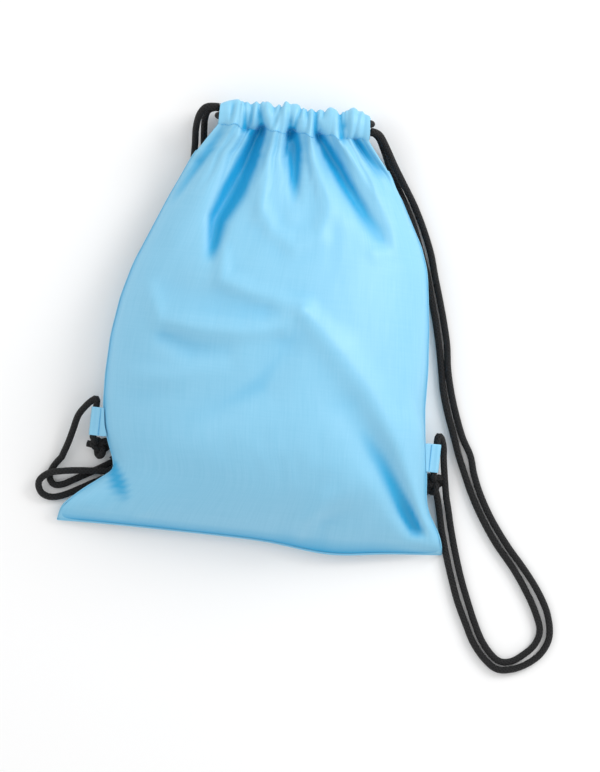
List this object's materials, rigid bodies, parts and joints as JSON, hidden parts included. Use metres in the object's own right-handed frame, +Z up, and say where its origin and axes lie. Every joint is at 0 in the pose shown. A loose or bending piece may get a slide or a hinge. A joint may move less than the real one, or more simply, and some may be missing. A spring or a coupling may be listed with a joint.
{
  "type": "drawstring backpack",
  "caption": "Drawstring backpack in light woven cloth, with a gathered mouth, twin braided cord straps and loop tabs on the side seams.",
  "frame": {"origin": "centre of the bag's footprint, without its free cords, on the surface that it lies on", "axes": "+Z up, away from the surface; +Y from the bottom seam to the gathered mouth; +X to the right when seen from above"},
  "size_m": [0.4654, 0.4724, 0.0955],
  "materials": {
    "cloth": "satin",
    "seam": "satin",
    "cord": "matte",
    "thread": "satin"
  },
  "bodies": {
    "bag": {"back_panel": "cloth", "front_panel": "cloth", "left_side_seam": "seam", "right_side_seam": "seam", "bottom_seam": "seam", "back_channel": "cloth", "back_channel_stitching": "thread", "left_drawcord_back_run": "cord", "right_drawcord_back_run": "cord", "left_strap_front_strand": "cord", "left_strap_back_strand": "cord", "right_strap_front_strand": "cord", "right_strap_back_strand": "cord"},
    "front_rim": {"front_channel": "cloth", "front_channel_stitching": "thread", "left_drawcord_front_run": "cord", "right_drawcord_front_run": "cord"},
    "left_tab": {"left_loop_tab": "cloth", "left_tab_bartack": "thread", "left_tab_cord_turn": "cord", "left_knot": "cord", "left_cord_tails": "cord"},
    "right_tab": {"right_loop_tab": "cloth", "right_tab_bartack": "thread", "right_tab_cord_turn": "cord", "right_knot": "cord", "right_cord_tails": "cord"}
  },
  "joints": [
    {"name": "mouth_open", "type": "hinge", "parent": "bag", "child": "front_rim", "pos_m": [0, 0.02, 0.088], "axis": [1, 0, 0], "range_deg": [0, 12]},
    {"name": "left_tab_swing", "type": "hinge", "parent": "bag", "child": "left_tab", "pos_m": [-0.13875, -0.101, 0.028], "axis": [0, 1, 0], "range_deg": [0, 60]},
    {"name": "right_tab_swing", "type": "hinge", "parent": "bag", "child": "right_tab", "pos_m": [0.14767, -0.101, 0.028], "axis": [0, -1, 0], "range_deg": [0, 60]}
  ]
}
